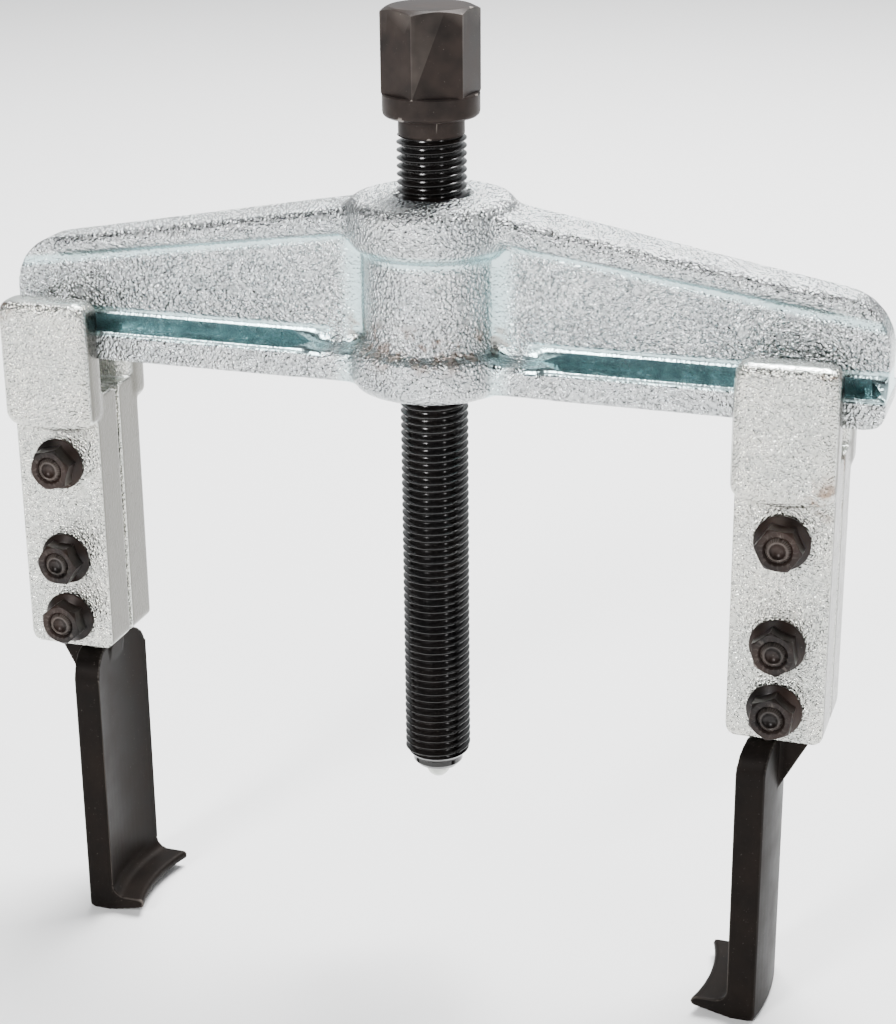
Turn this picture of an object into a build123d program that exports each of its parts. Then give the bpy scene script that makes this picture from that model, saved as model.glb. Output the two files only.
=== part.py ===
from build123d import *
import os
from math import cos, radians, sin, sqrt

# Two-legged gear puller. Millimetres, +Z up.
# X runs along the crossbeam, the spindle stands on the Z axis, and Z is 0 under the feet.
# Each leg is built about its own centre line with its inboard side towards -X, which is
# the right leg; the left leg is its mirror image.

# Where the legs stand, from the ends of the crossbeam
right_leg_inset = 28.1
left_leg_inset = 15.8

# Crossbeam
beam_half_length = 145.0
beam_shoulder_x = 24.5
beam_shoulder_rise = 57.2
beam_knee_inset = 16.7
beam_knee_rise = 39.3
beam_end_top_radius = 18.0
beam_end_bottom_radius = 5.0
web_half_width = 6.0
rail_half_width = 12.2
rail_height = 9.8
groove_root_half_width = 3.5
groove_root_drop = 0.8
groove_mouth_height = 4.5
groove_start_x = 39.0
groove_end_inset = 5.3
groove_tip_inset = 0.3
groove_tip_turn = 20.0
boss_step = 1.0
boss_height = 10.6
boss_edge_radius = 2.5
flange_root_half_width = 13.1
flange_end_half_width = 7.3
flange_root_thickness = 9.4
flange_end_thickness = 6.2
flange_end_inset = 13.0
flange_edge_radius = 2.9
flange_end_radius = 5.5

# Hub in the middle of the crossbeam
hub_drop = 1.7
hub_foot_radius = 26.5
hub_foot_height = 13.4
hub_waist_radius = 22.0
hub_collar_height = 44.6
hub_collar_bottom_radius = 25.7
hub_collar_radius = 27.0
hub_top_height = 59.8
hub_crown = 1.1
hub_countersink_depth = 1.7
hub_big_round = 4.0
hub_small_round = 1.6

# Spindle, M22 x 2.5
thread_diameter = 22.0
bore_clearance = 0.1
spindle_tip_z = 66.8
tip_cone_height = 4.5
bare_end_step = 2.6
bare_end_height = 1.7
thread_start_chamfer = 3.2
thread_length = 209.8
neck_relief = 0.6
neck_height = 5.8
collar_step = 4.2
collar_height = 7.5
collar_round = 1.8
hex_across_flats = 27.0
hex_height = 26.3
hex_top_land_radius = 12.7
hex_chamfer_drop = 1.5
hex_turn = 27.0
ball_diameter = 8.0
ball_clearance = 0.08
ball_rise = 1.5
ball_lip_radius = 4.2

# Hooks
blade_height = 99.3
blade_half_width = 19.0
blade_shoulder_radius = 10.0
blade_outer_radius = 80.6
blade_thickness = 9.2
blade_offset = 0.7
foot_reach = 11.4
foot_thickness = 6.0
foot_tip_rise = 2.9
foot_land = 8.0
foot_fillet = 4.0
heel_radius = 1.6
tip_edge_radius = 1.5
shank_half_width = 9.75
shank_half_thickness = 5.0
shank_top_above_bolt = 8.3
gusset_foot_z = 78.5
gusset_shoulder_z = 97.5
shank_blend_height = 8.0
shank_edge_round = 1.0

# Cheeks
shoulder_gap = 3.0
cheek_drop = 104.7
cheek_half_width = 15.5
cheek_outer = 15.3
cheek_gap = 0.7
cheek_corner_radius = 3.5
pad_half_width = 16.2
pad_wall = 9.7
pad_bottom_drop = 21.8
pad_bottom_bulge = 2.2
pad_corner_radius = 5.0
pad_edge_radius = 3.8
lip_height = 10.4
lip_corner_radius = 8.0
neck_half_gap = 7.5
neck_drop = 12.2
ledge_radius = 3.0
rail_side_clearance = 0.4
rail_end_clearance = 0.4
rail_lip_clearance = 0.3
web_clearance = 0.8
shank_side_clearance = 0.25
shank_end_clearance = 2.0

# Bolts and nuts, M8 with flanges
bolt_heights = (10.8, 32.9, 67.4)
bolt_diameter = 8.0
bolt_hole_clearance = 0.2
nut_thread_clearance = 0.05
bolt_projection = 0.2
bolt_end_chamfer = 0.9
fastener_flats = 13.0
fastener_height = 8.0
fastener_flange_diameter = 17.9
fastener_flange_rim = 1.1
fastener_flange_rise = 2.7
fastener_corner_drop = 1.1

# Heights and places that follow from the sizes above
right_leg_x = beam_half_length - right_leg_inset
left_leg_x = beam_half_length - left_leg_inset
beam_knee_x = beam_half_length - beam_knee_inset
groove_end_x = beam_half_length - groove_end_inset
groove_tip_x = beam_half_length - groove_tip_inset
flange_length = beam_half_length - flange_end_inset
boss_half_width = rail_half_width + boss_step
thread_radius = thread_diameter / 2
bore_radius = thread_radius + bore_clearance
cheek_bottom = blade_height + shoulder_gap
rail_bottom = cheek_bottom + cheek_drop
rail_top = rail_bottom + rail_height
groove_mouth = rail_top + groove_mouth_height
lip_bottom = rail_top + rail_lip_clearance
cheek_top = lip_bottom + lip_height
recess_floor = rail_bottom - rail_end_clearance
neck_floor = recess_floor - neck_drop
beam_shoulder_z = rail_bottom + beam_shoulder_rise
beam_slope = (beam_knee_rise - beam_shoulder_rise) / (beam_knee_x - beam_shoulder_x)
beam_end_z = beam_shoulder_z + beam_slope * (beam_half_length - beam_shoulder_x)
hub_bottom = rail_bottom - hub_drop
hub_top = rail_bottom + hub_top_height
pad_bottom = recess_floor - pad_bottom_drop
shank_top = cheek_bottom + bolt_heights[-1] + shank_top_above_bolt
claw_centre = blade_outer_radius - blade_offset
blade_inner_radius = blade_outer_radius - blade_thickness
foot_tip_radius = blade_inner_radius - foot_reach


def on_both_sides(half):
    """A half of something and its mirror image across the YZ plane."""
    return half + mirror(half, about=Plane.YZ)


def web():
    """Middle plate of one arm, with its sloping top and rounded end."""
    outline = FilletPolyline(
        (0, rail_bottom),
        (beam_half_length, rail_bottom),
        (beam_half_length, beam_end_z),
        (beam_shoulder_x, beam_shoulder_z),
        (0, beam_shoulder_z),
        radius=[0, beam_end_bottom_radius, beam_end_top_radius, 0, 0],
        close=True,
    )
    return extrude(Plane.XZ * make_face(outline), web_half_width, both=True)


def rail():
    """Wide foot of one arm that a leg slides on, with a small fillet up to the web."""
    fillet_radius = groove_mouth_height
    outline = FilletPolyline(
        (-rail_half_width, rail_bottom),
        (rail_half_width, rail_bottom),
        (rail_half_width, rail_top),
        (web_half_width, rail_top),
        (web_half_width, groove_mouth + fillet_radius),
        (-web_half_width, groove_mouth + fillet_radius),
        (-web_half_width, rail_top),
        (-rail_half_width, rail_top),
        radius=[0, 0, 0, fillet_radius, 0, 0, fillet_radius, 0],
        close=True,
    )
    bar = extrude(Plane.YZ * make_face(outline), beam_half_length)
    side = FilletPolyline(
        (0, rail_bottom),
        (beam_half_length, rail_bottom),
        (beam_half_length, cheek_top),
        (0, cheek_top),
        radius=[0, beam_end_bottom_radius, 0, 0],
        close=True,
    )
    return bar & extrude(Plane.XZ * make_face(side), rail_half_width, both=True)


def groove():
    """Cutter for the V groove between rail and web on the front of one arm."""
    start = Plane.YZ.offset(groove_start_x)
    run_out = Plane.YZ.offset(groove_end_x)
    fillet_radius = groove_mouth_height
    mouth_corner = web_half_width + fillet_radius
    beyond = rail_half_width - mouth_corner
    section = make_face(
        Polyline(
            (-groove_root_half_width, rail_top - groove_root_drop),
            (-web_half_width, groove_mouth),
            (-mouth_corner - beyond, groove_mouth),
            (-mouth_corner - beyond, rail_top),
            close=True,
        )
    )
    cut = extrude(start * section, groove_end_x - groove_start_x)
    tip_y = -mouth_corner + fillet_radius * sin(radians(groove_tip_turn))
    tip_z = rail_top + fillet_radius * (1 - cos(radians(groove_tip_turn)))
    tip = Vertex(groove_tip_x, tip_y, tip_z)
    end_section = make_face(
        Polyline(
            (-groove_root_half_width, rail_top - groove_root_drop),
            (-web_half_width, groove_mouth),
            (-mouth_corner, rail_top),
            close=True,
        )
    )
    return cut + loft([(run_out * end_section).face(), tip])


def flange():
    """Upper flange of one arm; it tapers in plan and in thickness towards the end."""
    root_x = hub_waist_radius / 2
    root_top = beam_shoulder_z + beam_slope * (root_x - beam_shoulder_x)
    end_top = beam_shoulder_z + beam_slope * (flange_length - beam_shoulder_x)
    side = Polyline(
        (root_x, root_top - flange_root_thickness),
        (flange_length, end_top - flange_end_thickness),
        (flange_length, end_top),
        (root_x, root_top),
        close=True,
    )
    plan = FilletPolyline(
        (root_x, -flange_root_half_width),
        (flange_length, -flange_end_half_width),
        (flange_length, flange_end_half_width),
        (root_x, flange_root_half_width),
        radius=[0, flange_end_radius, flange_end_radius, 0],
        close=True,
    )
    slab = extrude(Plane.XZ * make_face(side), flange_root_half_width, both=True)
    slab = slab & extrude(make_face(plan), root_top)
    rims = slab.edges().filter_by(lambda edge: edge.center().X > hub_waist_radius)
    rims = rims.filter_by(lambda edge: abs(edge.tangent_at(0.5).Z) < 0.5)
    return fillet(rims, flange_edge_radius)


def hub():
    """Turned hub of the crossbeam, from its foot to the domed top."""
    countersink_radius = bore_radius + hub_countersink_depth
    crown = hub_top + hub_crown
    foot_top = hub_bottom + hub_foot_height
    collar_bottom = rail_bottom + hub_collar_height
    profile = FilletPolyline(
        (bore_radius, hub_bottom),
        (hub_foot_radius, hub_bottom),
        (hub_foot_radius, foot_top),
        (hub_waist_radius, foot_top + hub_small_round),
        (hub_waist_radius, collar_bottom - hub_small_round),
        (hub_collar_bottom_radius, collar_bottom),
        (hub_collar_radius, collar_bottom + hub_big_round),
        (hub_collar_radius, hub_top),
        (countersink_radius, crown),
        (bore_radius, crown - hub_countersink_depth),
        radius=[0, hub_big_round, hub_small_round, hub_small_round, hub_small_round,
                hub_small_round / 2, hub_small_round, hub_big_round, hub_small_round / 2, 0],
        close=True,
    )
    return revolve(Plane.XZ * make_face(profile), Axis.Z)


def crossbeam():
    """Two arms, the boss around their roots and the hub, with the spindle's hole."""
    arm = web() + rail() + flange()
    cutter = groove()
    arm = arm - cutter - mirror(cutter, about=Plane.XZ)
    boss = Pos(0, 0, rail_bottom + boss_height / 2) * Box(
        2 * groove_start_x, 2 * boss_half_width, boss_height
    )
    boss = fillet(boss.edges().filter_by(Axis.X).group_by(Axis.Z)[-1], boss_edge_radius)
    bore = Cylinder(bore_radius, 4 * hub_top)
    return on_both_sides(arm) + boss + hub() - bore


def hexagon(across_flats, height):
    """Upright hexagonal prism standing on Z = 0."""
    return extrude(RegularPolygon(across_flats / 2, 6, major_radius=False), height)


def spindle():
    """Threaded spindle at its major diameter, with its hexagon head on top."""
    bare_end_radius = thread_radius - bare_end_step
    neck_radius = thread_radius - neck_relief
    collar_radius = thread_radius + collar_step
    cone_top = spindle_tip_z + tip_cone_height
    bare_top = cone_top + bare_end_height
    thread_bottom = bare_top + thread_start_chamfer
    thread_top = thread_bottom + thread_length
    collar_bottom = thread_top + neck_height
    collar_top = collar_bottom + collar_height
    profile = FilletPolyline(
        (0, spindle_tip_z),
        (ball_lip_radius, spindle_tip_z),
        (bare_end_radius, cone_top),
        (bare_end_radius, bare_top),
        (thread_radius, thread_bottom),
        (thread_radius, thread_top),
        (neck_radius, thread_top),
        (neck_radius, collar_bottom),
        (collar_radius, collar_bottom),
        (collar_radius, collar_top),
        (0, collar_top),
        radius=[0, 0, 1.0, 0, 0, 0, 0, 0, collar_round, 0, 0],
        close=True,
    )
    shaft = revolve(Plane.XZ * make_face(profile), Axis.Z)
    corner_radius = hex_across_flats / sqrt(3)
    head_top = hex_height - hex_chamfer_drop
    chamfer_profile = Polyline(
        (0, 0),
        (corner_radius, 0),
        (corner_radius, head_top),
        (hex_top_land_radius, hex_height),
        (0, hex_height),
        close=True,
    )
    head = hexagon(hex_across_flats, hex_height)
    head = head & revolve(Plane.XZ * make_face(chamfer_profile), Axis.Z)
    head = Pos(0, 0, collar_top) * Rot(0, 0, hex_turn) * head
    socket = Pos(0, 0, spindle_tip_z + ball_rise) * Sphere(ball_diameter / 2 + ball_clearance)
    return shaft + head - socket


def ball():
    """Pressure ball, free to turn in the socket at the spindle's tip."""
    return Pos(0, 0, spindle_tip_z + ball_rise) * Sphere(ball_diameter / 2)


def cheek():
    """Front cheek of a leg: a plate with a pad and a lip that hooks over the rail."""
    section = FilletPolyline(
        (-cheek_outer, cheek_bottom),
        (-cheek_outer, neck_floor),
        (-neck_half_gap, neck_floor),
        (-cheek_gap, neck_floor),
        (-cheek_gap, cheek_bottom),
        radius=[0, 0, 0, ledge_radius, 0],
        close=True,
    )
    face = FilletPolyline(
        (-cheek_half_width, cheek_bottom),
        (cheek_half_width, cheek_bottom),
        (cheek_half_width, neck_floor),
        (-cheek_half_width, neck_floor),
        radius=[cheek_corner_radius, cheek_corner_radius, 0, 0],
        close=True,
    )
    plate = extrude(Plane.YZ * make_face(section), cheek_half_width, both=True)
    plate = plate & extrude(Plane.XZ * make_face(face), cheek_outer, both=True)
    pocket_top = shank_top + shank_end_clearance
    pocket = Pos(0, 0, (cheek_bottom + pocket_top) / 2 - shank_end_clearance) * Box(
        2 * (shank_half_width + shank_side_clearance),
        2 * shank_half_thickness,
        pocket_top - cheek_bottom + 2 * shank_end_clearance,
    )
    return plate + cheek_pad() - pocket - rail_way() - bolt_holes()


def cheek_pad():
    """Thick upper block of a cheek, proud of the plate at the front."""
    sides = Polyline(
        (-pad_half_width, pad_bottom),
        (-pad_half_width, cheek_top),
        (pad_half_width, cheek_top),
        (pad_half_width, pad_bottom),
    )
    bottom = ThreePointArc(
        (pad_half_width, pad_bottom),
        (0, pad_bottom - pad_bottom_bulge),
        (-pad_half_width, pad_bottom),
    )
    front = rail_half_width + rail_side_clearance + pad_wall
    outline = make_face(sides + bottom)
    outline = fillet(outline.vertices(), pad_corner_radius)
    inner = web_half_width + web_clearance
    block = Pos(0, -inner, 0) * extrude(Plane.XZ * outline, front - inner)
    rim = block.edges().group_by(Axis.Y)[0]
    block = fillet(rim, pad_edge_radius)
    inner_corners = block.edges().filter_by(Axis.Z).group_by(Axis.Y)[-1]
    return fillet(inner_corners, lip_corner_radius)


def rail_way():
    """Cutter for the rail, and for the narrower pocket under it."""
    length = 2 * pad_half_width + 2
    recess_depth = 2 * (rail_half_width + rail_side_clearance)
    recess = Pos(0, 0, (recess_floor + lip_bottom) / 2) * Box(
        length, recess_depth, lip_bottom - recess_floor
    )
    neck = Pos(0, 0, (neck_floor + recess_floor) / 2) * Box(
        length, 2 * neck_half_gap, recess_floor - neck_floor
    )
    return recess + neck


def bolt_holes():
    """Cutters for the three bolts through a leg."""
    hole = Rot(90, 0, 0) * Cylinder(bolt_diameter / 2 + bolt_hole_clearance, 4 * cheek_outer)
    return [Pos(0, 0, cheek_bottom + height) * hole for height in bolt_heights]


def hook():
    """Hook of a leg: curved blade with its foot, and a flat shank between the cheeks."""
    profile = FilletPolyline(
        (blade_outer_radius, 0),
        (blade_outer_radius, blade_height),
        (blade_inner_radius, blade_height),
        (blade_inner_radius, foot_thickness),
        (foot_tip_radius, foot_thickness),
        (foot_tip_radius, foot_tip_rise),
        (blade_outer_radius - foot_land, 0),
        radius=[heel_radius, 0, 0, foot_fillet, tip_edge_radius, tip_edge_radius, 0],
        close=True,
    )
    claw = revolve(Plane.XZ * make_face(profile), Axis.Z)
    face = FilletPolyline(
        (-blade_half_width, 0),
        (blade_half_width, 0),
        (blade_half_width, blade_height),
        (-blade_half_width, blade_height),
        radius=[0, 0, blade_shoulder_radius, blade_shoulder_radius],
        close=True,
    )
    claw = Pos(-claw_centre, 0, 0) * claw
    claw = claw & extrude(Plane.YZ * make_face(face), claw_centre / 2, both=True)
    return claw + shank() - bolt_holes()


def shank():
    """Flat upper end of a hook; below the shoulders it widens outward into a gusset."""
    blend_z = blade_height - shank_blend_height
    outline = Polyline(
        (-shank_half_width, shank_top),
        (-shank_half_width, blade_height),
        (blade_offset - blade_thickness, blend_z),
        (blade_offset - blade_thickness / 2, gusset_foot_z),
        (blade_offset - shank_edge_round, gusset_foot_z),
        (shank_half_width, gusset_shoulder_z),
        (shank_half_width, shank_top),
        close=True,
    )
    plate = extrude(Plane.XZ * make_face(outline), shank_half_thickness, both=True)
    top_corners = plate.edges().filter_by(Axis.Y).group_by(Axis.Z)[-1]
    return fillet(top_corners, shank_edge_round)


def flanged_head():
    """Hexagon with a round flange, standing on Z = 0."""
    corner_radius = fastener_flats / sqrt(3)
    flats_radius = fastener_flats / 2
    flange_profile = Polyline(
        (0, 0),
        (fastener_flange_diameter / 2, 0),
        (fastener_flange_diameter / 2, fastener_flange_rim),
        (flats_radius, fastener_flange_rise),
        (0, fastener_flange_rise),
        close=True,
    )
    hexagon_profile = Polyline(
        (0, 0),
        (corner_radius, 0),
        (corner_radius, fastener_height - fastener_corner_drop),
        (flats_radius, fastener_height),
        (0, fastener_height),
        close=True,
    )
    head = hexagon(fastener_flats, fastener_height)
    head = head & revolve(Plane.XZ * make_face(hexagon_profile), Axis.Z)
    return head + revolve(Plane.XZ * make_face(flange_profile), Axis.Z)


def bolt():
    """Flanged bolt with its head at the back and its end just past the nut in front."""
    length = 2 * cheek_outer + fastener_height + bolt_projection
    shaft = Pos(0, 0, -length / 2) * Cylinder(bolt_diameter / 2, length)
    shaft = chamfer(shaft.edges().group_by(Axis.Z)[0], bolt_end_chamfer)
    return Pos(0, cheek_outer, 0) * Rot(-90, 0, 0) * (flanged_head() + shaft)


def nut():
    """Flanged nut seated on the front cheek."""
    hole = Cylinder(bolt_diameter / 2 + nut_thread_clearance, 4 * fastener_height)
    return Pos(0, -cheek_outer, 0) * Rot(90, 0, 0) * (flanged_head() - hole)


def leg():
    """Every piece of one leg by name, with the leg's centre line on the Z axis."""
    front = cheek()
    pieces = {
        "front_cheek": front,
        "back_cheek": mirror(front, about=Plane.XZ),
        "hook": hook(),
    }
    for number, height in enumerate(bolt_heights, start=1):
        raised = Pos(0, 0, cheek_bottom + height)
        pieces[f"bolt_{number}"] = raised * bolt()
        pieces[f"nut_{number}"] = raised * nut()
    return pieces


nodes = {"crossbeam": crossbeam(), "spindle": spindle(), "spindle_ball": ball()}
for name, piece in leg().items():
    nodes["right_" + name] = Pos(right_leg_x, 0, 0) * piece
    nodes["left_" + name] = mirror(Pos(left_leg_x, 0, 0) * piece, about=Plane.YZ)

os.makedirs("parts", exist_ok=True)
for name, solid in nodes.items():
    export_step(solid, f"parts/{name}.step")
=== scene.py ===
import math

import bmesh
import bpy
from mathutils import Matrix, Vector


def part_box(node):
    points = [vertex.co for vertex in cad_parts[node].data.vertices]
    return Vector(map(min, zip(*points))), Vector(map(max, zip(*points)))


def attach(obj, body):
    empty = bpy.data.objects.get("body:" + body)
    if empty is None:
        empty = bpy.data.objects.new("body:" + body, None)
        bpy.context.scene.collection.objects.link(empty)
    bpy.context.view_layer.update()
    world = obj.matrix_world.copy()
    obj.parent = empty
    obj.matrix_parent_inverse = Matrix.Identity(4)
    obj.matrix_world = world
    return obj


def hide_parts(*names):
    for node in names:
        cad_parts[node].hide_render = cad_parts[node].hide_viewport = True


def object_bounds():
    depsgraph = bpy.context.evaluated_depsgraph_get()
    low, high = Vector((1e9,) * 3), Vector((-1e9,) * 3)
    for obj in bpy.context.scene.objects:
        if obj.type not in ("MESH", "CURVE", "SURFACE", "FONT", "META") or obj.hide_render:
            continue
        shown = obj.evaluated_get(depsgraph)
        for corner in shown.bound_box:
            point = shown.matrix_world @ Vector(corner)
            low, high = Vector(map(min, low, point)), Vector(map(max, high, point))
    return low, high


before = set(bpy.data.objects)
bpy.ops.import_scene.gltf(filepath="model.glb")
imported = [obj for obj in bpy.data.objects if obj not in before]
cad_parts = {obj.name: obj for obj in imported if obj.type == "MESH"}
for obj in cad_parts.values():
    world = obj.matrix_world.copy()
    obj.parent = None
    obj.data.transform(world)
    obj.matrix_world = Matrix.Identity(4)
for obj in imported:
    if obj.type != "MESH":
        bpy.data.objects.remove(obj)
cad_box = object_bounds()

MM = 0.001
CROSSBEAM_LOW, CROSSBEAM_HIGH = [Vector(corner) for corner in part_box("crossbeam")]
SPINDLE_LOW, SPINDLE_HIGH = [Vector(corner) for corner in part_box("spindle")]
SIDES = ("left", "right")
BOLT_NUMBERS = (1, 2, 3)

# Crossbeam, measured from the bottom of the hub and the ends of the arms
HUB_DROP = 1.7 * MM
RAIL_BOTTOM = CROSSBEAM_LOW.z + HUB_DROP
RAIL_TOP = RAIL_BOTTOM + 9.8 * MM
RAIL_HALF_WIDTH = 12.2 * MM
WEB_HALF_WIDTH = 6.0 * MM
GROOVE_ROOT = 3.5 * MM
GROOVE_ROOT_DROP = 0.8 * MM
GROOVE_MOUTH = 4.5 * MM
GROOVE_START = 39.0 * MM
GROOVE_END = CROSSBEAM_HIGH.x - 5.3 * MM
GROOVE_TIP = CROSSBEAM_HIGH.x - 0.3 * MM
HUB_COLLAR_BOTTOM = RAIL_BOTTOM + 44.6 * MM
HUB_FOOT_TOP = RAIL_BOTTOM + 11.7 * MM
FLANGE_START = 26.4 * MM
FLANGE_START_HEIGHT = RAIL_BOTTOM + 47.9 * MM
FLANGE_SLOPE = -0.1467

# How finely each forging is remeshed, and how often it is then smoothed
BEAM_VOXEL = 0.75 * MM
BEAM_SMOOTHING = 4
ARM_ROOT_SMOOTHING = 30
CHEEK_VOXEL = 0.6 * MM
CHEEK_SMOOTHING = 5
HOOK_VOXEL = 0.55 * MM
HOOK_SMOOTHING = 3
SHARP_ANGLE = 40

# Spindle, M22 x 2.5
THREAD_RADIUS = 11.0 * MM
THREAD_PITCH = 2.5 * MM
THREAD_DEPTH = 1.53 * MM
THREAD_SEGMENTS = 72
SPARE_TURNS = 3
TIP_LAND_RADIUS = 4.2 * MM
TIP_CONE_RADIUS = 7.6 * MM
TIP_RADIUS = 8.4 * MM
SOCKET_RADIUS = 3.9 * MM
SOCKET_DEPTH = 3.0 * MM
THREAD_BOTTOM = SPINDLE_LOW.z + 9.4 * MM
THREAD_TOP = THREAD_BOTTOM + 209.8 * MM
NECK_RADIUS = 10.4 * MM
COLLAR_RADIUS = 15.2 * MM
COLLAR_HEIGHT = 7.5 * MM
HEX_FLATS = 27.0 * MM
HEX_HEIGHT = 26.3 * MM
HEX_TURN = math.radians(27.0)
HEX_LAND_RADIUS = 12.7 * MM

# Fasteners, M8
NUT_FLATS = 13.0 * MM
NUT_HEIGHT = 8.0 * MM
NUT_FLANGE_RADIUS = 8.95 * MM
BOLT_RADIUS = 4.0 * MM
BORE_RADIUS = BOLT_RADIUS + 0.05 * MM
SPIN_PER_BOLT = 17.0
SPIN_OF_SIDE = {"left": 23.0, "right": 5.0}


# ---------------------------------------------------------------- mesh helpers

def add_object(name, bm):
    """A mesh object made from a bmesh, which is freed."""
    mesh = bpy.data.meshes.new(name)
    bm.to_mesh(mesh)
    bm.free()
    piece = bpy.data.objects.new(name, mesh)
    bpy.context.scene.collection.objects.link(piece)
    return piece


def bake_modifiers(piece):
    """Applies the piece's modifiers to its mesh."""
    depsgraph = bpy.context.evaluated_depsgraph_get()
    mesh = bpy.data.meshes.new_from_object(piece.evaluated_get(depsgraph))
    piece.modifiers.clear()
    piece.data = mesh
    return piece


def shade(piece, angle=None):
    """Smooth shading, with sharp edges above the angle in degrees."""
    piece.data.polygons.foreach_set("use_smooth", [True] * len(piece.data.polygons))
    if angle is not None:
        piece.data.set_sharp_from_angle(angle=math.radians(angle))


def copy_of_node(node, name):
    """An editable copy of a CAD node's mesh, welded."""
    bm = bmesh.new()
    bm.from_mesh(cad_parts[node].data)
    bmesh.ops.remove_doubles(bm, verts=bm.verts, dist=0.002 * MM)
    return add_object(name, bm)


def remesh(piece, voxel, smoothing):
    """Voxel remesh and smoothing, which rounds edges as forging does."""
    shape = piece.modifiers.new("remesh", "REMESH")
    shape.mode = "VOXEL"
    shape.voxel_size = voxel
    bake_modifiers(piece)
    soften(piece, smoothing)
    shade(piece)


def soften(piece, iterations, group=""):
    """Repeated vertex smoothing, all over or in a vertex group."""
    smoothing = piece.modifiers.new("soften", "SMOOTH")
    smoothing.factor = 0.5
    smoothing.iterations = iterations
    smoothing.vertex_group = group
    bake_modifiers(piece)


def round_edges(piece, width, angle):
    """Small bevel on the edges sharper than the angle."""
    bevel = piece.modifiers.new("bevel", "BEVEL")
    bevel.width = width
    bevel.segments = 2
    bevel.limit_method = "ANGLE"
    bevel.angle_limit = math.radians(angle)
    bake_modifiers(piece)
    shade(piece, SHARP_ANGLE)
    normals = piece.modifiers.new("normals", "WEIGHTED_NORMAL")
    normals.keep_sharp = True
    return bake_modifiers(piece)


def boolean(piece, other, operation):
    """Combines two closed meshes; the other one is used up."""
    cut = piece.modifiers.new("cut", "BOOLEAN")
    cut.operation = operation
    cut.object = other
    cut.solver = "EXACT"
    bake_modifiers(piece)
    bpy.data.objects.remove(other)
    return piece


def hull(points):
    """The convex hull of some points, as a bmesh."""
    bm = bmesh.new()
    for point in points:
        bm.verts.new(point)
    result = bmesh.ops.convex_hull(bm, input=bm.verts)
    inside = {v for v in result["geom_interior"] if isinstance(v, bmesh.types.BMVert)}
    bmesh.ops.delete(bm, geom=list(inside), context="VERTS")
    bmesh.ops.recalc_face_normals(bm, faces=bm.faces)
    return bm


def lathe(profile, segments):
    """A closed solid of revolution about Z from (radius, height) points, bottom to top."""
    bm = bmesh.new()
    rings = []
    for radius, height in profile:
        if radius == 0:
            rings.append([bm.verts.new((0, 0, height))] * segments)
            continue
        ring = []
        for step in range(segments):
            angle = 2 * math.pi * step / segments
            ring.append(bm.verts.new((radius * math.cos(angle), radius * math.sin(angle), height)))
        rings.append(ring)
    for low, high in zip(rings, rings[1:]):
        for step in range(segments):
            after = (step + 1) % segments
            corners = [low[step], low[after], high[after], high[step]]
            bm.faces.new(list(dict.fromkeys(corners)))
    bmesh.ops.recalc_face_normals(bm, faces=bm.faces)
    return bm


def hexagon_prism(across_flats, low, high, turn=0.0):
    """A closed hexagonal prism about Z, as a bmesh."""
    radius = across_flats / math.sqrt(3)
    points = []
    for step in range(6):
        angle = turn + step * math.pi / 3
        for height in (low, high):
            points.append((radius * math.cos(angle), radius * math.sin(angle), height))
    bm = hull(points)
    flat_angle = math.radians(1)
    bmesh.ops.dissolve_limit(bm, angle_limit=flat_angle, verts=bm.verts, edges=bm.edges)
    return bm


# ------------------------------------------------------------------- materials

PIT_GREY = (0.20, 0.21, 0.21, 1)
SPECK_GREY = (0.30, 0.27, 0.24, 1)
WORN_STEEL = (0.34, 0.30, 0.27, 1)
BALL_DARK = (0.44, 0.46, 0.43, 1)
BALL_LIGHT = (0.56, 0.57, 0.53, 1)


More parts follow.
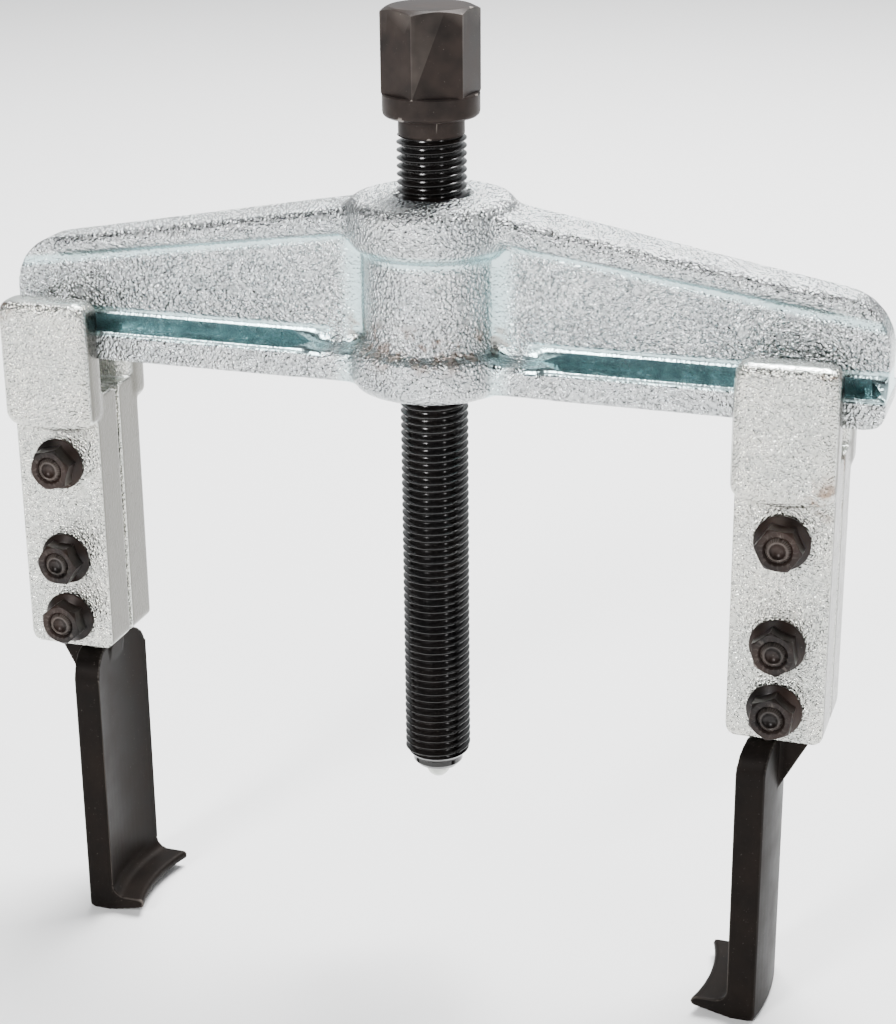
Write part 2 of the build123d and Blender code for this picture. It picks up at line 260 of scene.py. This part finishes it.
class Nodes:
    """Short-hand for building one material's node tree."""

    def __init__(self, name):
        self.material = bpy.data.materials.new(name)
        self.material.use_nodes = True
        self.tree = self.material.node_tree
        self.shader = self.tree.nodes["Principled BSDF"]
        self.place = self.add("ShaderNodeTexCoord").outputs["Object"]

    def add(self, kind, **settings):
        node = self.tree.nodes.new(kind)
        for key, value in settings.items():
            setattr(node, key, value)
        return node

    def link(self, source, target):
        self.tree.links.new(source, target)

    def feed(self, node, **inputs):
        """Sets or links a node's inputs by name."""
        for key, value in inputs.items():
            socket = node.inputs[key.replace("_", " ")]
            if isinstance(value, bpy.types.NodeSocket):
                self.link(value, socket)
            else:
                socket.default_value = value
        return node

    def noise(self, scale, detail=2.0, roughness=0.5, stretch=None):
        """Noise with so many features to a metre, stretched along an axis if asked."""
        where = self.place
        if stretch is not None:
            mapping = self.add("ShaderNodeMapping")
            self.feed(mapping, Vector=where, Scale=stretch)
            where = mapping.outputs["Vector"]
        node = self.add("ShaderNodeTexNoise")
        self.feed(node, Vector=where, Scale=scale, Detail=detail, Roughness=roughness)
        return node.outputs["Fac"]

    def cells(self, scale):
        """Distance to the nearest of so many rounded cells to a metre."""
        node = self.add("ShaderNodeTexVoronoi", feature="SMOOTH_F1")
        self.feed(node, Vector=self.place, Scale=scale, Smoothness=0.6)
        return node.outputs["Distance"]

    def ramp(self, value, low, high, start=0.0, end=1.0):
        """value from low..high spread over start..end, clamped."""
        node = self.add("ShaderNodeMapRange")
        self.feed(node, Value=value, From_Min=low, From_Max=high, To_Min=start, To_Max=end)
        return node.outputs["Result"]

    def math(self, operation, a, b):
        node = self.add("ShaderNodeMath", operation=operation)
        for socket, value in zip(node.inputs, (a, b)):
            if isinstance(value, bpy.types.NodeSocket):
                self.link(value, socket)
            else:
                socket.default_value = value
        return node.outputs["Value"]

    def mix(self, factor, a, b):
        """Mixes two colours."""
        node = self.add("ShaderNodeMix", data_type="RGBA")
        for socket, value in ((node.inputs[0], factor), (node.inputs[6], a), (node.inputs[7], b)):
            if isinstance(value, bpy.types.NodeSocket):
                self.link(value, socket)
            else:
                socket.default_value = value
        return node.outputs[2]

    def attribute(self, name):
        return self.add("ShaderNodeAttribute", attribute_name=name).outputs["Fac"]

    def bump(self, height, strength, distance, before=None):
        node = self.add("ShaderNodeBump")
        self.feed(node, Height=height, Strength=strength, Distance=distance)
        if before is not None:
            self.link(before, node.inputs["Normal"])
        return node.outputs["Normal"]


def zinc(name, colour, shadow, tint_and_painted_sheen, rust, painted_shade, pebbles_per_metre, depth):
    """Zinc-plated forging: pebbled where it is rough, smooth and tinted elsewhere, with painted shade where
    a vertex attribute asks for it; the tint is bluish in the beam's fillets and a pale painted sheen on the
    cheeks' smooth tops.
    """
    n = Nodes(name)
    smooth = n.attribute("smooth")
    stain = n.attribute("stain")
    pebbles = n.noise(pebbles_per_metre, 1.0, 0.5)
    grains = n.cells(pebbles_per_metre)
    grit = n.noise(2600.0, 1.0, 0.5)
    clouds = n.noise(45.0, 3.0, 0.6)
    blotches = n.noise(210.0, 2.0, 0.6)
    base = n.mix(n.ramp(clouds, 0.35, 0.65), colour, shadow)
    pits = n.math("MULTIPLY", n.ramp(pebbles, 0.46, 0.30), n.math("SUBTRACT", 1.0, smooth))
    base = n.mix(n.math("MULTIPLY", pits, 0.7), base, PIT_GREY)
    # bluish tint in the beam's fillets; on the cheeks a pale painted sheen on the smooth tops
    base = n.mix(n.math("MULTIPLY", smooth, n.ramp(blotches, 0.2, 0.6, 0.75, 1.0)), base, tint_and_painted_sheen)
    base = n.mix(n.math("MULTIPLY", stain, n.ramp(blotches, 0.48, 0.60)), base, rust)
    # painted shade: darkens the roundings and flanks that the vertex attribute picks out
    base = n.mix(n.attribute("painted_shade"), base, painted_shade)
    n.link(base, n.shader.inputs["Base Color"])
    rough = n.ramp(blotches, 0.3, 0.7, 0.20, 0.29)
    n.link(rough, n.shader.inputs["Roughness"])
    n.feed(n.shader, Metallic=1.0)
    height = n.math("MULTIPLY", n.ramp(pebbles, 0.3, 0.7), 0.6)
    height = n.math("ADD", height, n.math("MULTIPLY", grit, 0.25))
    height = n.math("ADD", height, n.ramp(grains, 0.1, 0.6, 0.6, 0.0))
    height = n.math("MULTIPLY", height, n.math("SUBTRACT", 1.0, n.math("MULTIPLY", smooth, 0.93)))
    n.link(n.bump(height, 1.0, depth), n.shader.inputs["Normal"])
    return n.material


def black_oxide(name, dark, brown, roughness, gloss, lines=None, edges=0.0):
    """Blackened steel with a brown cast and, where asked, machining lines and worn edges."""
    n = Nodes(name)
    clouds = n.noise(60.0, 3.0, 0.6)
    specks = n.noise(1500.0, 2.0, 0.6)
    base = n.mix(n.ramp(clouds, 0.35, 0.7), dark, brown)
    base = n.mix(n.ramp(specks, 0.70, 0.78, 0.0, 0.25), base, SPECK_GREY)
    if edges:
        edge = n.add("ShaderNodeNewGeometry").outputs["Pointiness"]
        worn = n.math("MULTIPLY", n.ramp(edge, 0.53, 0.60), n.ramp(clouds, 0.3, 0.6, 0.3, 1.0))
        base = n.mix(n.math("MULTIPLY", worn, edges), base, WORN_STEEL)
    n.link(base, n.shader.inputs["Base Color"])
    n.link(n.ramp(clouds, 0.3, 0.7, roughness - 0.05, roughness + 0.07), n.shader.inputs["Roughness"])
    n.feed(n.shader, Metallic=0.2, Specular_IOR_Level=gloss)
    normal = n.bump(specks, 0.25, 0.05 * MM)
    if lines is not None:
        scratches = n.noise(300.0, 2.0, 0.7, lines)
        normal = n.bump(scratches, 0.35, 0.04 * MM, normal)
    n.link(normal, n.shader.inputs["Normal"])
    return n.material


def bare_steel(name):
    """Ground ball steel, slightly matt."""
    n = Nodes(name)
    clouds = n.noise(300.0, 2.0, 0.5)
    base = n.mix(n.ramp(clouds, 0.3, 0.7), BALL_DARK, BALL_LIGHT)
    n.link(base, n.shader.inputs["Base Color"])
    n.link(n.ramp(clouds, 0.3, 0.7, 0.25, 0.4), n.shader.inputs["Roughness"])
    n.feed(n.shader, Metallic=0.9)
    return n.material


BEAM_ZINC = zinc(
    "beam_zinc",
    colour=(0.66, 0.68, 0.68, 1),
    shadow=(0.54, 0.57, 0.58, 1),
    # bluish tint of the passivated zinc in the beam's fillets
    tint_and_painted_sheen=(0.60, 0.80, 0.82, 1),
    rust=(0.26, 0.13, 0.07, 1),
    # colour of the painted shade on the beam's upper roundings
    painted_shade=(0.17, 0.175, 0.175, 1),
    pebbles_per_metre=950.0,
    depth=0.62 * MM,
)
CHEEK_ZINC = zinc(
    "cheek_zinc",
    colour=(0.68, 0.67, 0.61, 1),
    shadow=(0.57, 0.58, 0.54, 1),
    # painted sheen: near-white colour that lightens the pad tops
    tint_and_painted_sheen=(0.92, 0.96, 0.92, 1),
    rust=(0.26, 0.15, 0.09, 1),
    # colour of the painted shade on the cheeks' flanks
    painted_shade=(0.115, 0.112, 0.10, 1),
    pebbles_per_metre=1150.0,
    depth=0.36 * MM,
)
SPINDLE_BLACK = black_oxide(
    "spindle_black",
    dark=(0.004, 0.004, 0.004, 1),
    brown=(0.008, 0.006, 0.005, 1),
    roughness=0.16,
    gloss=0.6,
)
HEAD_BLACK = black_oxide(
    "head_black",
    dark=(0.018, 0.015, 0.014, 1),
    brown=(0.040, 0.030, 0.026, 1),
    roughness=0.40,
    gloss=0.05,
    lines=(0.05, 0.05, 14.0),
    edges=0.9,
)
HOOK_BLACK = black_oxide(
    "hook_black",
    dark=(0.008, 0.0068, 0.0062, 1),
    brown=(0.0125, 0.0095, 0.008, 1),
    roughness=0.45,
    gloss=0.03,
    edges=0.5,
)
FASTENER_BLACK = black_oxide(
    "fastener_black",
    dark=(0.008, 0.0065, 0.006, 1),
    brown=(0.030, 0.018, 0.014, 1),
    roughness=0.34,
    gloss=0.20,
    edges=0.25,
)
BALL_STEEL = bare_steel("ball_steel")


def dress(piece, material, body, slot, *nodes):
    """Gives a piece its material and its body, and hides the CAD nodes it stands for."""
    piece.data.materials.clear()
    piece.data.materials.append(material)
    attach(piece, body)
    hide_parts(*nodes)


# ------------------------------------------------------------------- crossbeam

def step_up(value, low, high):
    """0 below low, 1 above high, smooth between."""
    t = min(max((value - low) / (high - low), 0.0), 1.0)
    return t * t * (3 - 2 * t)


def groove_filler(side, front):
    """Solid that fills one groove before the forging is rounded."""
    inner = GROOVE_ROOT - 0.5 * MM
    floor = RAIL_TOP - 1.2 * MM
    mouth = RAIL_TOP + GROOVE_MOUTH
    section = [
        (inner, floor),
        (RAIL_HALF_WIDTH, floor),
        (RAIL_HALF_WIDTH, RAIL_TOP),
        (inner, mouth),
        (WEB_HALF_WIDTH, mouth),
        (WEB_HALF_WIDTH + 1.4 * MM, RAIL_TOP + 1.4 * MM),
    ]
    points = []
    for x in (GROOVE_START - 1.0 * MM, CROSSBEAM_HIGH.x - 1.0 * MM):
        points += [(side * x, front * y, z) for y, z in section]
    return hull(points)


def groove_cutter(side, front):
    """V-shaped cutter that runs out in a point at both ends, near the hub and near the arm's end."""
    mouth = RAIL_TOP + GROOVE_MOUTH
    outside = RAIL_HALF_WIDTH + 2 * MM
    section = [
        (GROOVE_ROOT, RAIL_TOP - GROOVE_ROOT_DROP),
        (WEB_HALF_WIDTH - 0.1 * MM, mouth),
        (outside, mouth),
        (outside, RAIL_TOP),
    ]
    points = []
    for x in (GROOVE_START + 7 * MM, GROOVE_END):
        points += [(side * x, front * y, z) for y, z in section]
    tip_y = front * (WEB_HALF_WIDTH + 3.0 * MM)
    points.append((side * (GROOVE_START - 1 * MM), tip_y, RAIL_TOP + 1.8 * MM))
    points.append((side * GROOVE_TIP, tip_y, RAIL_TOP + 0.2 * MM))
    return hull(points)


def blend_weight(point):
    """Where the arms grow out of the hub, and the forging has its large fillets."""
    x, y = abs(point.x), abs(point.y)
    near = step_up(x, 14 * MM, 18 * MM) * step_up(-x, -44 * MM, -34 * MM)
    return near * step_up(-y, -17 * MM, -15 * MM)


def set_attribute(piece, name, function):
    """Stores a number from 0 to 1 on every vertex."""
    layer = piece.data.attributes.new(name, "FLOAT", "POINT")
    layer.data.foreach_set("value", [function(v.co, v.normal) for v in piece.data.vertices])


def beam_smooth(point, normal):
    """Smooth skin: V groove, waist corners, and the undersides of the collar and the flange."""
    x, y, z = abs(point.x), abs(point.y), point.z
    groove = step_up(z, RAIL_TOP - 2.0 * MM, RAIL_TOP - 1.2 * MM)
    groove *= step_up(-z, -RAIL_TOP - 7.2 * MM, -RAIL_TOP - 6.0 * MM)
    groove *= step_up(x, 30 * MM, 36 * MM)
    radius = math.hypot(x, y)
    corner = step_up(x, 19.5 * MM, 22 * MM) * step_up(-x, -31 * MM, -24 * MM)
    corner *= step_up(-z, -HUB_COLLAR_BOTTOM - 2 * MM, -HUB_COLLAR_BOTTOM) * step_up(-y, -15 * MM, -12 * MM)
    under = step_up(z, HUB_COLLAR_BOTTOM - 5 * MM, HUB_COLLAR_BOTTOM - 2 * MM)
    under *= step_up(-z, -HUB_COLLAR_BOTTOM - 2 * MM, -HUB_COLLAR_BOTTOM - 0.5 * MM)
    under *= step_up(-radius, -30 * MM, -27 * MM)
    flange = 0.0
    if x > FLANGE_START + 1.6 * MM:
        lower = FLANGE_START_HEIGHT + FLANGE_SLOPE * (x - FLANGE_START)
        flange = step_up(z, lower - 3.5 * MM, lower - 1.5 * MM) * step_up(-z, -lower - 1.2 * MM, -lower)
    return max(groove, corner * 0.9, under * 0.85, flange * 0.8)


def beam_stain(point, normal):
    """Brown smears low on the hub's waist and on the collar's edge."""
    radius = math.hypot(point.x, point.y)
    around = step_up(-radius, -29 * MM, -26.5 * MM)
    low = step_up(-abs(point.z - HUB_FOOT_TOP - 4 * MM), -9 * MM, -3 * MM)
    return 0.55 * around * low


def beam_painted_shade(point, normal):
    """Painted shade on the roundings below the forging's top edges, standing in for their dark reflections.
    """
    rounding = step_up(normal.z, 0.12, 0.45) * step_up(-normal.z, -0.97, -0.85)
    return 0.6 * rounding * step_up(point.z, RAIL_TOP + 10 * MM, RAIL_TOP + 18 * MM)


def crossbeam():
    """Forged crossbeam with rounded edges and milled grooves."""
    piece = copy_of_node("crossbeam", "crossbeam_forging")
    bm = bmesh.new()
    bm.from_mesh(piece.data)
    for side in (-1, 1):
        for front in (-1, 1):
            filler = groove_filler(side, front)
            extra = bpy.data.meshes.new("filler")
            filler.to_mesh(extra)
            filler.free()
            bm.from_mesh(extra)
            bpy.data.meshes.remove(extra)
    bm.to_mesh(piece.data)
    bm.free()
    remesh(piece, BEAM_VOXEL, BEAM_SMOOTHING)
    group = piece.vertex_groups.new(name="blend")
    for vertex in piece.data.vertices:
        weight = blend_weight(vertex.co)
        if weight > 0:
            group.add([vertex.index], weight, "REPLACE")
    soften(piece, ARM_ROOT_SMOOTHING, "blend")
    for side in (-1, 1):
        for front in (-1, 1):
            boolean(piece, add_object("cutter", groove_cutter(side, front)), "DIFFERENCE")
    shade(piece, SHARP_ANGLE)
    set_attribute(piece, "smooth", beam_smooth)
    set_attribute(piece, "stain", beam_stain)
    # painted shade on the roundings below the top edges
    set_attribute(piece, "painted_shade", beam_painted_shade)
    dress(piece, BEAM_ZINC, "beam", "beam_zinc", "crossbeam")


# --------------------------------------------------------------------- spindle

def thread_rod():
    """Helical 60-degree thread over the whole shaft, longer than needed at both ends."""
    crest, root = THREAD_RADIUS, THREAD_RADIUS - THREAD_DEPTH
    profile = [(0.0, root), (0.125, root + 0.1 * MM), (0.42, crest - 0.08 * MM), (0.46, crest),
               (0.54, crest), (0.58, crest - 0.08 * MM), (0.875, root + 0.1 * MM)]
    turns = int((THREAD_TOP - THREAD_BOTTOM) / THREAD_PITCH) + 2 * SPARE_TURNS
    start = THREAD_BOTTOM - SPARE_TURNS * THREAD_PITCH
    bm = bmesh.new()
    columns = []
    for step in range(turns * THREAD_SEGMENTS + 1):
        angle = 2 * math.pi * step / THREAD_SEGMENTS
        base = start + THREAD_PITCH * step / THREAD_SEGMENTS
        cos, sin = math.cos(angle), math.sin(angle)
        columns.append([
            bm.verts.new((radius * cos, radius * sin, base + share * THREAD_PITCH))
            for share, radius in profile
        ])
    count = len(profile)
    for step in range((turns - 1) * THREAD_SEGMENTS):
        low, high = columns[step], columns[step + 1]
        low_top, high_top = columns[step + THREAD_SEGMENTS][0], columns[step + THREAD_SEGMENTS + 1][0]
        for row in range(count):
            upper_low = low[row + 1] if row + 1 < count else low_top
            upper_high = high[row + 1] if row + 1 < count else high_top
            bm.faces.new((low[row], high[row], upper_high, upper_low))
    loose = [v for v in bm.verts if not v.link_faces]
    bmesh.ops.delete(bm, geom=loose, context="VERTS")
    bmesh.ops.holes_fill(bm, edges=[e for e in bm.edges if e.is_boundary], sides=0)
    bmesh.ops.triangulate(bm, faces=[f for f in bm.faces if len(f.verts) > 4])
    bmesh.ops.recalc_face_normals(bm, faces=bm.faces)
    return add_object("spindle_screw", bm)


def spindle():
    """Threaded shaft with its turned tip, and the hexagon head on its collar."""
    tip = SPINDLE_LOW.z
    reach = THREAD_RADIUS + 2 * MM
    envelope = lathe([
        (0, tip),
        (TIP_LAND_RADIUS, tip),
        (TIP_CONE_RADIUS, tip + 3.6 * MM),
        (TIP_RADIUS, tip + 4.6 * MM),
        (TIP_RADIUS, tip + 6.2 * MM),
        (reach, THREAD_BOTTOM + 2 * MM),
        (reach, THREAD_TOP),
        (0, THREAD_TOP),
    ], 96)
    rod = boolean(thread_rod(), add_object("envelope", envelope), "INTERSECT")
    socket = lathe([
        (0, tip - SOCKET_DEPTH),
        (SOCKET_RADIUS, tip - SOCKET_DEPTH),
        (SOCKET_RADIUS, tip + SOCKET_DEPTH),
        (0, tip + SOCKET_DEPTH),
    ], 48)
    boolean(rod, add_object("socket", socket), "DIFFERENCE")
    shade(rod, 35)
    dress(rod, SPINDLE_BLACK, "screw", "spindle_black", "spindle")

    collar_bottom = SPINDLE_HIGH.z - HEX_HEIGHT - COLLAR_HEIGHT
    collar_top = SPINDLE_HIGH.z - HEX_HEIGHT
    collar = lathe([
        (0, THREAD_TOP),
        (NECK_RADIUS - 0.5 * MM, THREAD_TOP),
        (NECK_RADIUS, THREAD_TOP + 0.6 * MM),
        (NECK_RADIUS, collar_bottom),
        (COLLAR_RADIUS - 1.9 * MM, collar_bottom),
        (COLLAR_RADIUS - 0.9 * MM, collar_bottom + 0.3 * MM),
        (COLLAR_RADIUS - 0.25 * MM, collar_bottom + 0.9 * MM),
        (COLLAR_RADIUS, collar_bottom + 1.9 * MM),
        (COLLAR_RADIUS, collar_top - 0.5 * MM),
        (COLLAR_RADIUS - 0.3 * MM, collar_top),
        (0, collar_top),
    ], 128)
    top = SPINDLE_HIGH.z
    head = add_object("spindle_head", hexagon_prism(HEX_FLATS, collar_top - 1 * MM, top, HEX_TURN))
    corner = HEX_FLATS / math.sqrt(3)
    cone = lathe([
        (0, collar_top - 2 * MM),
        (corner - 1.5 * MM, collar_top - 2 * MM),
        (corner + 0.6 * MM, collar_top + 1.0 * MM),
        (corner + 0.6 * MM, top - 1.75 * MM),
        (HEX_LAND_RADIUS + 0.2 * MM, top - 0.12 * MM),
        (HEX_LAND_RADIUS - 0.2 * MM, top),
        (0, top),
    ], 128)
    boolean(head, add_object("cone", cone), "INTERSECT")
    boolean(head, add_object("collar", collar), "UNION")
    round_edges(head, 0.35 * MM, 30)
    dress(head, HEAD_BLACK, "screw", "spindle_black", "spindle")


# ------------------------------------------------------------------------ legs

def cheek_smooth_and_painted_sheen(point, normal):
    """Where a cheek is smooth: its flanks and the pad's top. On the pad's top the same weight lays on a
    pale painted sheen.
    """
    flank = step_up(abs(normal.x), 0.75, 0.95)
    top = step_up(normal.z, 0.7, 0.95)
    return max(flank, top) * 0.9


def cheek_painted_shade(point, normal):
    """Painted shade on the flat flanks of a cheek, standing in for their darker reflections."""
    return step_up(abs(normal.x), 0.8, 0.97)


def cheek_stain(side, low, high):
    """Brown spots near the outer corners of a pad."""
    def weight(point, normal):
        corner_low = Vector((high.x, low.y, high.z - 43 * MM))
        corner_top = Vector((low.x if side == "left" else high.x, low.y, high.z))
        near_low = step_up(-(point - corner_low).length, -13 * MM, -4 * MM) if side == "right" else 0.0
        near_top = step_up(-(point - corner_top).length, -9 * MM, -3 * MM)
        return max(near_low, near_top) * 0.8
    return weight


def cheeks(side):
    """Both forged cheeks of a leg."""
    for place in ("front", "back"):
        node = f"{side}_{place}_cheek"
        low, high = [Vector(corner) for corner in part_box(node)]
        piece = copy_of_node(node, f"{node}_forging")
        remesh(piece, CHEEK_VOXEL, CHEEK_SMOOTHING)
        # smooth skin, and a painted sheen on the pad tops
        set_attribute(piece, "smooth", cheek_smooth_and_painted_sheen)
        set_attribute(piece, "stain", cheek_stain(side, low, high))
        # painted shade on the flanks
        set_attribute(piece, "painted_shade", cheek_painted_shade)
        dress(piece, CHEEK_ZINC, f"{side}_leg", "cheek_zinc", node)


def hook(side):
    """Forged hook with lightly broken edges."""
    node = f"{side}_hook"
    piece = copy_of_node(node, f"{node}_forging")
    remesh(piece, HOOK_VOXEL, HOOK_SMOOTHING)
    dress(piece, HOOK_BLACK, f"{side}_leg", "hook_black", node)


def flanged_hexagon(name, bore):
    """Hexagon with a round flange on Z = 0; with a bore it is a nut."""
    flats = NUT_FLATS / 2
    corner = NUT_FLATS / math.sqrt(3)
    piece = add_object(name, hexagon_prism(NUT_FLATS, 0.3 * MM, NUT_HEIGHT))
    cone = lathe([
        (0, -1 * MM),
        (corner + 1 * MM, -1 * MM),
        (corner + 1 * MM, NUT_HEIGHT - 1.6 * MM),
        (flats - 0.1 * MM, NUT_HEIGHT),
        (0, NUT_HEIGHT),
    ], 64)
    boolean(piece, add_object("cone", cone), "INTERSECT")
    flange = lathe([
        (0, 0),
        (NUT_FLANGE_RADIUS - 0.5 * MM, 0),
        (NUT_FLANGE_RADIUS - 0.1 * MM, 0.25 * MM),
        (NUT_FLANGE_RADIUS, 0.65 * MM),
        (NUT_FLANGE_RADIUS - 0.12 * MM, 1.0 * MM),
        (NUT_FLANGE_RADIUS - 0.5 * MM, 1.25 * MM),
        (flats + 0.3 * MM, 2.5 * MM),
        (flats - 0.8 * MM, 2.9 * MM),
        (0, 2.9 * MM),
    ], 96)
    boolean(piece, add_object("flange", flange), "UNION")
    if bore:
        hole = lathe([
            (0, -2 * MM),
            (BORE_RADIUS, -2 * MM),
            (BORE_RADIUS, NUT_HEIGHT - 0.9 * MM),
            (BORE_RADIUS + 0.9 * MM, NUT_HEIGHT + 0.1 * MM),
            (0, NUT_HEIGHT + 0.1 * MM),
        ], 64)
        boolean(piece, add_object("hole", hole), "DIFFERENCE")
    return round_edges(piece, 0.22 * MM, 25)


def fastener_meshes():
    """One nut and one bolt head, seated on Z = 0 and pointing up, to be copied."""
    nut = flanged_hexagon("nut", True)
    head = flanged_hexagon("bolt", False)
    return nut, head


def bolt_shaft(length):
    """Bolt shank with a chamfered, slightly dished end, pointing down from Z = 0."""
    return lathe([
        (0, -length + 0.35 * MM),
        (BOLT_RADIUS - 1.4 * MM, -length + 0.3 * MM),
        (BOLT_RADIUS - 1.5 * MM, -length),
        (BOLT_RADIUS - 0.9 * MM, -length),
        (BOLT_RADIUS, -length + 0.9 * MM),
        (BOLT_RADIUS, 0.5 * MM),
        (0, 0.5 * MM),
    ], 64)


def place_fasteners(side, nut, head):
    """Copies the nut and the bolt head, with a shank, to every hole of a leg."""
    for number in BOLT_NUMBERS:
        nut_node = f"{side}_nut_{number}"
        bolt_node = f"{side}_bolt_{number}"
        low, high = [Vector(corner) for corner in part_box(nut_node)]
        bolt_low, bolt_high = [Vector(corner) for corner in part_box(bolt_node)]
        x, z = (low.x + high.x) / 2, (low.z + high.z) / 2
        spin = math.radians(SPIN_PER_BOLT * number + SPIN_OF_SIDE[side])
        length = bolt_high.y - bolt_low.y - NUT_HEIGHT

        piece = bpy.data.objects.new(f"{nut_node}_detail", nut.data.copy())
        piece.data.transform(Matrix.Translation((x, high.y, z)) @ Matrix.Rotation(math.pi / 2, 4, "X")
                             @ Matrix.Rotation(spin, 4, "Z"))
        bpy.context.scene.collection.objects.link(piece)
        dress(piece, FASTENER_BLACK, f"{side}_leg", "fastener_black", nut_node)

        piece = bpy.data.objects.new(f"{bolt_node}_detail", head.data.copy())
        bpy.context.scene.collection.objects.link(piece)
        boolean(piece, add_object("shaft", bolt_shaft(length)), "UNION")
        seat = bolt_high.y - NUT_HEIGHT
        piece.data.transform(Matrix.Translation((x, seat, z)) @ Matrix.Rotation(-math.pi / 2, 4, "X")
                             @ Matrix.Rotation(spin, 4, "Z"))
        shade(piece, SHARP_ANGLE)
        dress(piece, FASTENER_BLACK, f"{side}_leg", "fastener_black", bolt_node)


# ---------------------------------------------------------- floor, lights, camera

def stage():
    """Wide flat pale floor just under the feet."""
    bm = bmesh.new()
    bmesh.ops.create_grid(bm, x_segments=8, y_segments=8, size=6.0)
    floor = add_object("floor", bm)
    floor.location.z = cad_box[0][2] - 0.1 * MM
    n = Nodes("floor_paint")
    n.feed(n.shader, Base_Color=(0.93, 0.93, 0.93, 1), Roughness=0.9)
    floor.data.materials.append(n.material)


def area_light(name, place, target, size, power):
    """Rectangular soft light aimed at a point."""
    light = bpy.data.lights.new(name, "AREA")
    light.shape = "RECTANGLE"
    light.size, light.size_y = size
    light.energy = power
    lamp = bpy.data.objects.new(name, light)
    lamp.location = place
    lamp.rotation_euler = (Vector(target) - Vector(place)).to_track_quat("-Z", "Y").to_euler()
    bpy.context.scene.collection.objects.link(lamp)


def lights():
    """Soft boxes in a dim room whose far wall is bright."""
    world = bpy.data.worlds.new("studio")
    world.use_nodes = True
    tree = world.node_tree
    direction = tree.nodes.new("ShaderNodeTexCoord")
    split = tree.nodes.new("ShaderNodeSeparateXYZ")
    wall = tree.nodes.new("ShaderNodeMapRange")
    tree.links.new(direction.outputs["Generated"], split.inputs["Vector"])
    tree.links.new(split.outputs["Y"], wall.inputs["Value"])
    for name, value in (("From Min", -0.3), ("From Max", 0.6), ("To Min", 0.02), ("To Max", 0.95)):
        wall.inputs[name].default_value = value
    tree.links.new(wall.outputs["Result"], tree.nodes["Background"].inputs["Strength"])
    tree.nodes["Background"].inputs["Color"].default_value = (0.95, 0.98, 1.0, 1)
    bpy.context.scene.world = world
    middle = (0, 0, 0.18)
    area_light("key", (-0.55, -1.5, 0.95), middle, (0.35, 0.7), 34)
    area_light("fill", (1.3, -0.9, 0.6), middle, (0.15, 1.0), 5)
    area_light("top", (0.1, 0.9, 1.9), (-0.2, 0.7, 0), (1.2, 1.2), 150)


def camera():
    """Camera in front of the right arm and above it, looking down towards the hub."""
    yaw, pitch, roll = -0.328, 0.353, -0.011
    forward = Vector((math.sin(yaw) * math.cos(pitch), math.cos(yaw) * math.cos(pitch), -math.sin(pitch)))
    level = Vector((math.cos(yaw), -math.sin(yaw), 0))
    upward = level.cross(forward)
    right = level * math.cos(roll) + upward * math.sin(roll)
    up = upward * math.cos(roll) - level * math.sin(roll)
    place = Vector((0.2187, -0.6428, 0.4215))
    lens = bpy.data.cameras.new("camera")
    lens.lens = 77.76
    lens.sensor_width = 36.0
    lens.shift_x = 0.0125
    lens.shift_y = -0.0291
    eye = bpy.data.objects.new("camera", lens)
    eye.matrix_world = Matrix((
        (right.x, up.x, -forward.x, place.x),
        (right.y, up.y, -forward.y, place.y),
        (right.z, up.z, -forward.z, place.z),
        (0, 0, 0, 1),
    ))
    bpy.context.scene.collection.objects.link(eye)
    bpy.context.scene.camera = eye


crossbeam()
spindle()
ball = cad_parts["spindle_ball"]
ball.data.materials.clear()
ball.data.materials.append(BALL_STEEL)
nut_mesh, head_mesh = fastener_meshes()
for leg_side in SIDES:
    cheeks(leg_side)
    hook(leg_side)
    place_fasteners(leg_side, nut_mesh, head_mesh)
bpy.data.objects.remove(nut_mesh)
bpy.data.objects.remove(head_mesh)
stage()
lights()
camera()
